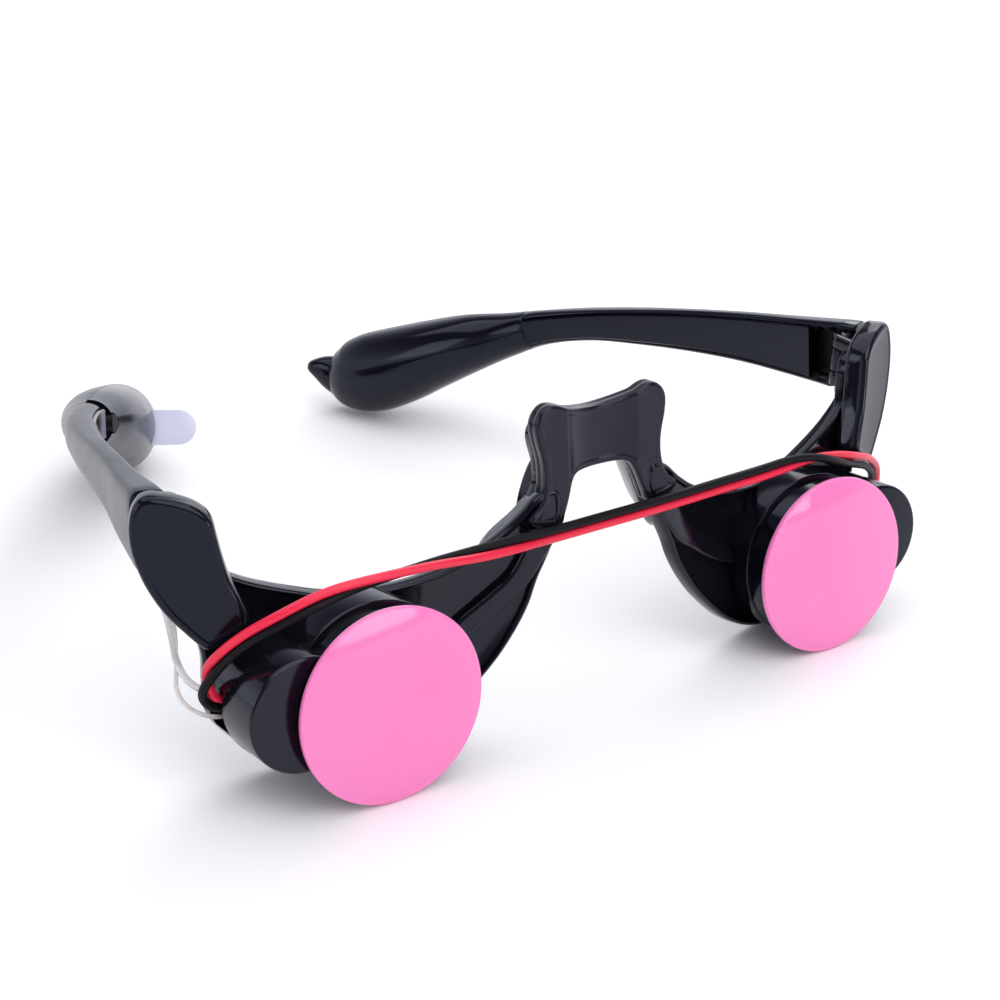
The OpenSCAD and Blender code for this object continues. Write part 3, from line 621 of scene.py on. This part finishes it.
def frame_half(s):
    parts = []
    pf, ef = side_xf(platef, s), side_xf(endf, s)
    # dish and web with a raised bead around the edge
    bm = bmesh.new()
    out = even(loop_pts(pu(WEB_TOP + DISH_LOW), 5), 0.5)
    rings = [(1.3, 0.0), (1.12, -0.1), (0.98, -0.45), (0.82, -0.74), (0.6, -0.86), (0.36, -0.8), (0.14, -0.56), (0.0, -0.1),
             (0.0, 1.45), (0.15, 1.8), (0.45, 2.0)]
    slab(bm, out, rings, pf)
    parts.append(to_object("dish", bm, BLACK, angle=40))
    # ledge
    bm = bmesh.new()
    slab(bm, even(loop_pts(pu(LEDGE), 5), 0.4), [(0.75, -1.3), (0.45, -1.24), (0.2, -1.05), (0.05, -0.8), (0.0, -0.5), (0.0, 0.4)], pf)
    parts.append(to_object("ledge", bm, BLACK, angle=40))
    # root of the web
    bm = bmesh.new()
    slab(bm, even(loop_pts(pu([(10.3, 18.6), (10.5, 22), (12.6, 23.2), (15.4, 20.9), (19.4, 18), (21, 15.4), (18.4, 12.8), (13.6, 12), (11, 15.2)]), 5), 0.5),
         [(0.6, 0.7), (0.0, 0.9), (0.0, 3.6), (0.2, 4.0), (0.6, 4.2)], pf)
    parts.append(to_object("root", bm, BLACK, angle=40))
    # endpiece back layer
    bm = bmesh.new()
    slab(bm, even(loop_pts(eu([(p[0] * 0.8 + 13.6, p[1] * 0.8 + 3.6) for p in END_OUT]), 5), 0.5), [(0.3, 4.35), (0.0, 4.4), (0.0, 5.9), (0.2, 6.25), (0.5, 6.4)], ef)
    back = to_object("back", bm, BLACK, angle=40)
    bm = bmesh.new()
    rf = side_xf(row, s)
    boxm(bm, (62, 25.8, 30), (82, 45, 60), rf)
    back = cut(back, to_object("c1", bm, BLACK, smooth=False))
    bm = bmesh.new()
    slab(bm, circle(HX, HY, 2.7, 48), [(0, 30), (0, 60)], lambda p: rf((p[0], p[2], p[1])))
    back = cut(back, to_object("c2", bm, BLACK, smooth=False))
    bm = bmesh.new()
    boxm(bm, (5, 4.8, 15.4), (30, 12, 40), ef)
    back = cut(back, to_object("c3", bm, BLACK, smooth=False))
    parts.append(back)
    # flared nose pad
    bm = bmesh.new()
    ca, sa, cb, sb = cos(radians(-20)), sin(radians(-20)), cos(radians(-16)), sin(radians(-16))
    lf = side_xf(lampf, s)

    def padf(p):
        # p: along the pad, across it, up it
        x, y, z = p[1], p[0], p[2]
        x, y = x * cb - y * sb, x * sb + y * cb
        x, z = x * ca + z * sa, -x * sa + z * ca
        return lf((7.4 + x, 9 + y, 22.5 + z))
    slab(bm, even(loop_pts(PAD, 5), 0.4), [(0.6, 0.0), (0.3, 0.06), (0.1, 0.25), (0.0, 0.55), (0.0, 1.15), (0.1, 1.45), (0.3, 1.64), (0.6, 1.7)], padf)
    parts.append(to_object("nose_pad", bm, BLACK, angle=40))
    # hinge ears
    for z0, z1 in ((35.4, 38), (42.6, 45)):
        bm = bmesh.new()
        P = [(HX + 2.3 * cos(a), HY + 2.3 * sin(a)) for a in [pi * k / 24 for k in range(25)]]
        P += [(HX - 2.3, HY - 4.6), (HX + 2.3, HY - 4.6 + 1.4)]
        if s:
            slab(bm, even(P, 0.35), [(0.25, z0), (0.06, z0 + 0.08), (0.0, z0 + 0.3), (0.0, z1 - 0.3), (0.06, z1 - 0.08), (0.25, z1)], lambda p: rf((p[0], p[2], p[1])))
        parts.append(to_object("ear", bm, BLACK, angle=40))
    return parts


bar = bridge_piece("bar", even(loop_pts(both(BAR), 6), 0.5), [(0.5, 0.05), (0.2, 0.12), (0.0, 0.4), (0.0, 1.6), (0.12, 1.95), (0.45, 2.15), (0.8, 2.2)], 3.25, cuts)
ff = joined("front_frame_look", frame_half(-1) + frame_half(1) + [bar], BLACK)
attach(ff, "front")
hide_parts("front_frame")

# ---------------------------------------------------------------- lamps


def plate_y(x, extra=0.25):
    return 8 + (x - 20) * tan(YAW) + extra


def housing(s, tag):
    lf = side_xf(lampf, s)
    back = lambda u, z: plate_y(u)
    objs = []
    for c, r, y0, roll, n in (((LAMP_X, 0), 13.8, 0.6, 0.35, 128), ((LAMP_X, 0.5), 14.3, 5.6, 0.3, 128), (LOBE, 9.1, 2.4, 0.55, 96)):
        bm = bmesh.new()
        rings = [(round(roll * (1 - sin(pi / 2 * k / 4)), 5), y0 + roll * (1 - cos(pi / 2 * k / 4))) for k in range(5)] + [(0.0, back)]
        slab(bm, circle(c[0], c[1], r, n), rings, lf)
        o = to_object("part", bm, BLACK, angle=45)
        objs.append(o)
    bm = bmesh.new()
    boxm(bm, (LOBE[0] + 4, 11.6, -2.6), (LOBE[0] + 20, 16.6, 4.4), lf)
    objs[2] = cut(objs[2], to_object("c", bm, BLACK, smooth=False))
    # painted shade: the right lamp housing gets the darker copy of the black plastic, the left one the plain black
    o = joined("lamp_housing_look_" + tag, objs, BLACK if s < 0 else BLACK_SHADED)
    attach(o, "front")
    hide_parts("lamp_housing_" + tag)
    return o


def cover(s, tag):
    """Domed cover with a fine rim."""
    lf = side_xf(lampf, s)
    dome, R = 1.6, DISC_R
    dr = (R * R + dome * dome) / (2 * dome)
    prof = []
    for k in range(0, 41):
        r = (R - 0.32) * k / 40
        prof.append((r, -0.3 - (dome - (dr - sqrt(dr * dr - r * r)))))
    prof += [(R - 0.2, -0.34), (R - 0.08, -0.27), (R - 0.01, -0.14), (R, 0.0), (R, 0.42), (R - 0.05, 0.54), (R - 0.18, 0.6), (0, 0.6)]
    n = 160
    bm = bmesh.new()
    rows = []
    for r, y in prof:
        if r < 1e-6:
            rows.append([bm.verts.new(Vector(lf((LAMP_X, y, 0))) * MM)])
        else:
            rows.append([bm.verts.new(Vector(lf((LAMP_X + r * cos(2 * pi * k / n), y, r * sin(2 * pi * k / n)))) * MM) for k in range(n)])
    for a, b in zip(rows[:-1], rows[1:]):
        for k in range(n):
            q = [a[k % len(a)], a[(k + 1) % len(a)], b[(k + 1) % len(b)], b[k % len(b)]]
            q = [v for i, v in enumerate(q) if v not in q[:i]]
            if len(q) > 2:
                bm.faces.new(q)
    o = to_object("lamp_cover_look_" + tag, bm, PINK, angle=35)
    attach(o, "front")
    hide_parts("lamp_cover_" + tag)
    return o


for s, tag in ((-1, "left"), (1, "right")):
    housing(s, tag)
    cover(s, tag)

# ---------------------------------------------------------------- temples
TPL = [(69.4, 26.4, 40.2, 6.5, 2.9, 0.45), (67.4, 38, 38.7, 5.6, 2.3, 0.45), (64.8, 50, 37.2, 4.8, 1.9, 0.5), (62.2, 62, 35.2, 4.2, 1.9, 0.55),
       (59.2, 74, 32.9, 3.7, 2.4, 0.6), (55.5, 86, 30.3, 3.3, 2.8, 0.7), (50.9, 96, 27.3, 3.6, 3.2, 0.85), (46.9, 104, 23.8, 4.7, 5, 1),
       (42.4, 111, 20.6, 6.2, 7, 1), (38, 118, 16.8, 7.4, 8.2, 1), (34, 124.4, 13.1, 8.4, 8.3, 1), (30.4, 130.4, 10, 8.8, 7.8, 1),
       (27.6, 135, 8.3, 7.8, 6.8, 1), (25.8, 138, 7.8, 5.8, 5, 1), (24.9, 139.6, 7.8, 2.8, 2.6, 1)]
WALL = 1.2
NT = 9
TP = np.array(line_pts(TPL, NT))
TM = TP[:, :3]
SEAM = 19 * NT // 3


def spow(v, p):
    return -((-v) ** p) if v < 0 else v ** p


TT = np.array([(TM[min(i + 1, len(TM) - 1)] - TM[max(i - 1, 0)]) for i in range(len(TM))])
TT /= np.linalg.norm(TT, axis=1)[:, None]


def axes(i):
    k = int(i)
    t = TT[k] if i == k else TT[k] * (1 - i + k) + TT[k + 1] * (i - k)
    t = t / np.linalg.norm(t)
    o = np.array([t[1], -t[0], 0.0])
    o /= np.linalg.norm(o)
    return t, o, np.cross(o, t)


def station(i):
    k = int(i)
    f = i - k
    return TP[k] if f < 1e-6 else TP[k] * (1 - f) + TP[k + 1] * f


# plane that the front end of a temple is cut along, behind the endpiece
END_V = 4.4 + 0.8
END_N = np.array([-sin(END_YAW), cos(END_YAW) * cos(TILT), -cos(END_YAW) * sin(TILT)])
END_P = np.array([62.5 - END_V * sin(END_YAW), (12.2 + END_V * cos(END_YAW)) * cos(TILT), ZC - (12.2 + END_V * cos(END_YAW)) * sin(TILT)])


def skin(i, a, w):
    t, o, b = axes(i)
    r = station(i)
    q = r[5]
    ht, hh = max(r[4] - w, 0.15), max(r[3] - w, 0.15)
    p = r[:3] + ht * spow(cos(a), q) * o + hh * spow(sin(a), q) * b
    if i == 0:
        p = p + t * (np.dot(END_P - p, END_N) / np.dot(t, END_N))
    return p


def shell(bm, i0, i1, mid, half, w0, w1, K, xf):
    """Part of the hollow skin: a sector of each ring, with its wall."""
    idx = list(range(i0, i1 + 1))
    if i0 < SEAM < i1:
        idx = sorted(idx + [SEAM - 0.05])
    rows = []
    for i in idx:
        A = half(i)
        out = [skin(i, mid - A + 2 * A * k / K, w0) for k in range(K + 1)]
        inn = [skin(i, mid - A + 2 * A * k / K, w1) for k in range(K, -1, -1)]
        rows.append([bm.verts.new(Vector(xf(tuple(p))) * MM) for p in out + inn])
    N = 2 * (K + 1)
    for a, b in zip(rows[:-1], rows[1:]):
        for k in range(N):
            bm.faces.new((a[k], a[(k + 1) % N], b[(k + 1) % N], b[k]))
    for r in (rows[0], rows[-1]):
        for k in range(K):
            bm.faces.new((r[k], r[k + 1], r[N - 2 - k], r[N - 1 - k]))


def dark_inside(o, rf):
    """The inner faces of a hollow shell are duller than its polished outside."""
    mid = np.array([rf(tuple(p)) for p in TM[::3]]) * MM
    o.data.materials.append(INSIDE)
    for p in o.data.polygons:
        c = np.array(p.center)
        d = c - mid[np.argmin(np.sum((mid - c) ** 2, axis=1))]
        if np.dot(np.array(p.normal), d) < -0.4 * np.linalg.norm(d):
            p.material_index = 1


def temple(s, tag):
    rf = side_xf(row, s)
    body = "temple_" + tag
    bm = bmesh.new()

    def half(i):
        return radians(132 if i < SEAM - 0.03 else 89.6)
    shell(bm, 0, len(TP) - 1, 0, half, 0.0, WALL, 44, rf)
    sh = to_object("shell", bm, BLACK, angle=50)
    bm = bmesh.new()
    slab(bm, circle(HX, HY, 3.2, 48), [(0, 30), (0, 45.6)], lambda p: rf((p[0], p[2], p[1])))
    sh = cut(sh, to_object("c", bm, BLACK, smooth=False))
    parts = [bevelled(sh, 0.16, 50, 3)]
    # barrel with its rib
    bm = bmesh.new()
    slab(bm, circle(HX, HY, 2.3, 48), [(0.3, 38.2), (0.05, 38.28), (0.0, 38.5), (0.0, 42.1), (0.05, 42.32), (0.3, 42.4)], lambda p: rf((p[0], p[2], p[1])))
    parts.append(to_object("barrel", bm, BLACK, angle=45))
    bm = bmesh.new()
    boxm(bm, (HX + 0.4, HY + 0.4, 38.6), (HX + 4.2, HY + 2.2, 42), rf)
    parts.append(bevelled(to_object("rib", bm, BLACK, smooth=False), 0.2))
    # flattened beak at the end of the tip
    ca, sa = cos(radians(8)), sin(radians(8))
    cb, sb = cos(radians(46)), sin(radians(46))

    def nubf(p):
        x, y, z = p
        y, z = y * ca - z * sa, y * sa + z * ca
        x, y = x * cb - y * sb, x * sb + y * cb
        return rf((23.4 + x, 139 + y, 9.4 + z))
    bm = bmesh.new()
    prof = [(-2.2, 3.6, -5.6, 2.6), (-0.6, 3.3, -4.9, 2.7), (0.7, 2.9, -4.2, 2.5), (1.7, 2.5, -3.5, 2.2), (2.6, 2.15, -2.8, 1.8), (3.4, 1.85, -2.2, 1.35),
            (4.1, 1.5, -1.7, 0.9), (4.55, 1.1, -1.35, 0.52), (4.75, 0.72, -1.08, 0.22), (4.82, 0.35, -0.8, -0.05)]
    rows = []
    for y, hw, z0, z1 in line_pts(prof, 3):
        ring = []
        for k in range(28):
            a = 2 * pi * k / 28
            ring.append(bm.verts.new(Vector(nubf((hw * spow(cos(a), 0.8), y, (z0 + z1) / 2 + (z1 - z0) / 2 * spow(sin(a), 0.8)))) * MM))
        rows.append(ring)
    for a, b in zip(rows[:-1], rows[1:]):
        for k in range(28):
            bm.faces.new((a[k], a[(k + 1) % 28], b[(k + 1) % 28], b[k]))
    bm.faces.new(rows[0])
    bm.faces.new(rows[-1])
    parts.append(to_object("nub", bm, BLACK, angle=50))
    # painted light and shade: the left temple shell gets a lighter, rougher copy of the black plastic and the right
    # one a darker copy; both are the same plastic
    o = joined("temple_shell_look_" + tag, parts, BLACK_LIT if s < 0 else BLACK_SHADED)
    dark_inside(o, rf)
    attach(o, body)
    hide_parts("temple_shell_" + tag)
    # inner channel panel
    bm = bmesh.new()
    rows = []
    for i in list(range(2 * NT // 3, SEAM)) + [SEAM - 0.12]:
        t, oo, b = axes(i)
        r = station(i)
        h = (r[3] - 0.5) * spow(sin(radians(132)), r[5]) + 0.1
        x = -r[4] + 0.12
        sec = [(x + 0.25, -h), (x, -h + 0.25), (x, h - 0.25), (x + 0.25, h), (x + 1, h), (x + 1, -h)]
        rows.append([bm.verts.new(Vector(rf(tuple(r[:3] + a * oo + c * b))) * MM) for a, c in sec])
    for a, b in zip(rows[:-1], rows[1:]):
        for k in range(6):
            bm.faces.new((a[k], a[(k + 1) % 6], b[(k + 1) % 6], b[k]))
    bm.faces.new(rows[0])
    bm.faces.new(rows[-1])
    # painted shade: the channel panel gets the darker copy of the black plastic
    o = to_object("temple_panel_look_" + tag, bm, BLACK_SHADED, angle=40)
    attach(o, body)
    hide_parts("temple_panel_" + tag)
    # tip cover
    bm = bmesh.new()
    shell(bm, SEAM, len(TP) - 1, pi, lambda i: radians(89.6), 0.0, WALL, 44, rf)
    # painted light and shade: the left tip cover gets a lighter copy of the black plastic and the right one a darker
    # copy; both are the same plastic
    tc = to_object("tip_cover_look_" + tag, bm, BLACK_LIT2 if s < 0 else BLACK_SHADED, angle=50)
    if s < 0:
        bm = bmesh.new()
        of = openf(rf)
        slab(bm, circle(0, 0, 4.5, 96), [(0, 0.6), (0, 12)], lambda p: of((p[0], p[2], p[1])))
        tc = cut(tc, to_object("c", bm, BLACK, smooth=False))
        bm = bmesh.new()
        bf = buttonf(rf)
        slab(bm, circle(0, 0, 2.0, 64), [(0, 1.5), (0, 4.8)], lambda p: bf((p[0], p[2], p[1])))
        tc = cut(tc, to_object("c", bm, BLACK, smooth=False))
        bm = bmesh.new()
        boxm(bm, (-12, 0.35, TAB_Z - 3.65), (-6, 0.85, TAB_Z + 3.65), tipf(rf))
        tc = cut(tc, to_object("c", bm, BLACK, smooth=False))
        tc.name = "tip_cover_look_" + tag
    tc = bevelled(tc, 0.16, 55, 3)
    dark_inside(tc, rf)
    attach(tc, body)
    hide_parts("tip_cover_" + tag)


def tipf(rf):
    m = Matrix.Rotation(radians(28.8), 4, "Z") @ Matrix.Rotation(radians(-25), 4, "X")

    def f(p):
        q = m @ Vector(p)
        return rf((q.x + 34.2, q.y + 124, q.z + 13.5))
    return f


def openf(rf):
    m = Matrix.Rotation(radians(-68.6), 4, "Z") @ Matrix.Rotation(radians(67.3), 4, "Y")

    def f(p):
        q = m @ Vector(p)
        return rf((q.x + 46.9, q.y + 104, q.z + 23.8))
    return f


def buttonf(rf):
    m = Matrix.Rotation(radians(-141), 4, "Z") @ Matrix.Rotation(radians(84), 4, "Y")

    def f(p):
        q = m @ Vector(p)
        return rf((q.x + 46.4, q.y + 103.8, q.z + 23.8))
    return f


temple(-1, "left")
temple(1, "right")

# pull tab: thin film with a rounded end
bm = bmesh.new()
P = [(2, -3.5), (2, 3.5)] + [(-12.9 + 3.5 * cos(a), 3.5 * sin(a)) for a in [pi / 2 + pi * k / 24 for k in range(25)]]
tf = tipf(side_xf(row, -1))
slab(bm, even(P, 0.5), [(0.12, 0.5), (0.0, 0.55), (0.0, 0.65), (0.12, 0.7)], lambda p: tf((p[0], p[1], p[2] + TAB_Z)))
o = to_object("pull_tab_look", bm, TAB, angle=60)
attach(o, "tab")
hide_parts("pull_tab")

# ---------------------------------------------------------------- CAD pieces that stay
for name, m in {"hinge_pin_left": PIN_M, "hinge_pin_right": PIN_M, "lamp_board_left": BOARD_M, "lamp_board_right": BOARD_M,
                "led_left": LED_M, "led_right": LED_M, "cell_holder": INNER_M, "button_cells": CELL_M, "contact_spring": SPRING_M,
                "contact_plate": BRASS_M, "control_board": BOARD_M, "control_chip": CHIP_M, "switch_body": INSIDE, "switch_button": INSIDE}.items():
    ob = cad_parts[name]
    ob.data.materials.clear()
    ob.data.materials.append(m)

# ---------------------------------------------------------------- floor, light
bm = bmesh.new()
bmesh.ops.create_grid(bm, x_segments=4, y_segments=4, size=6.0)
me = bpy.data.meshes.new("floor")
bm.to_mesh(me)
bm.free()
floor = bpy.data.objects.new("floor", me)
bpy.context.scene.collection.objects.link(floor)
floor.location = (0, 0, 0)
m, nt, b = nodes_of("floor_paper")
v = coords(nt)
paper = ramp(nt, noise(nt, v, 9, 3, 0.5), [(0.3, (0.955, 0.955, 0.96)), (0.7, (0.965, 0.965, 0.97))])
nt.links.new(paper, b.inputs["Base Color"])
b.inputs["Roughness"].default_value = 0.7
b.inputs["Specular IOR Level"].default_value = 0.2
me.materials.append(m)

w = bpy.data.worlds.new("studio")
bpy.context.scene.world = w
w.use_nodes = True
nt = w.node_tree
bg = nt.nodes["Background"]
tc = nt.nodes.new("ShaderNodeTexCoord")
sep = nt.nodes.new("ShaderNodeSeparateXYZ")
nt.links.new(tc.outputs["Generated"], sep.inputs["Vector"])
band = remap(nt, sep.outputs["Z"], 1.0, 0.0, 0.2, 0.62)
front = remap(nt, sep.outputs["Y"], 0.08, 1.0, -0.62, -0.15)
mul = nt.nodes.new("ShaderNodeMath")
mul.operation = "MULTIPLY"
nt.links.new(band, mul.inputs[0])
nt.links.new(front, mul.inputs[1])
mix = nt.nodes.new("ShaderNodeMix")
mix.data_type = "RGBA"
nt.links.new(mul.outputs[0], mix.inputs["Factor"])
mix.inputs["A"].default_value = (0.10, 0.105, 0.15, 1)
mix.inputs["B"].default_value = (1.16, 1.19, 1.31, 1)
nt.links.new(mix.outputs["Result"], bg.inputs["Color"])
bg.inputs["Strength"].default_value = 1.0


def area(name, loc, aim, size, power, size_y=None):
    l = bpy.data.lights.new(name, "AREA")
    l.shape = "RECTANGLE"
    l.size = size
    l.size_y = size_y or size
    l.energy = power
    o = bpy.data.objects.new(name, l)
    bpy.context.scene.collection.objects.link(o)
    d = Vector(aim) - Vector(loc)
    o.matrix_world = Matrix.Translation(Vector(loc)) @ d.to_track_quat("-Z", "Y").to_matrix().to_4x4()
    return o


area("soft_top", (0.05, 0.15, 1.1), (0, 0, 0.02), 1.5, 10)
area("soft_front", (0.1, -1.05, 0.95), (0, 0, 0.02), 1.1, 10)
area("soft_left", (-1.0, 0.1, 0.5), (0, 0, 0.02), 0.5, 1.4)
area("soft_right", (0.9, 0.5, 0.7), (0, 0, 0.02), 0.8, 5)
area("card_front", (0.36, -1.0, 0.12), (0, -0.07, 0.02), 0.42, 0.9, 0.16)

vs = bpy.context.scene.view_settings
vs.view_transform = "Standard"
vs.look = "None"
vs.exposure = 0.0
vs.gamma = 1.0
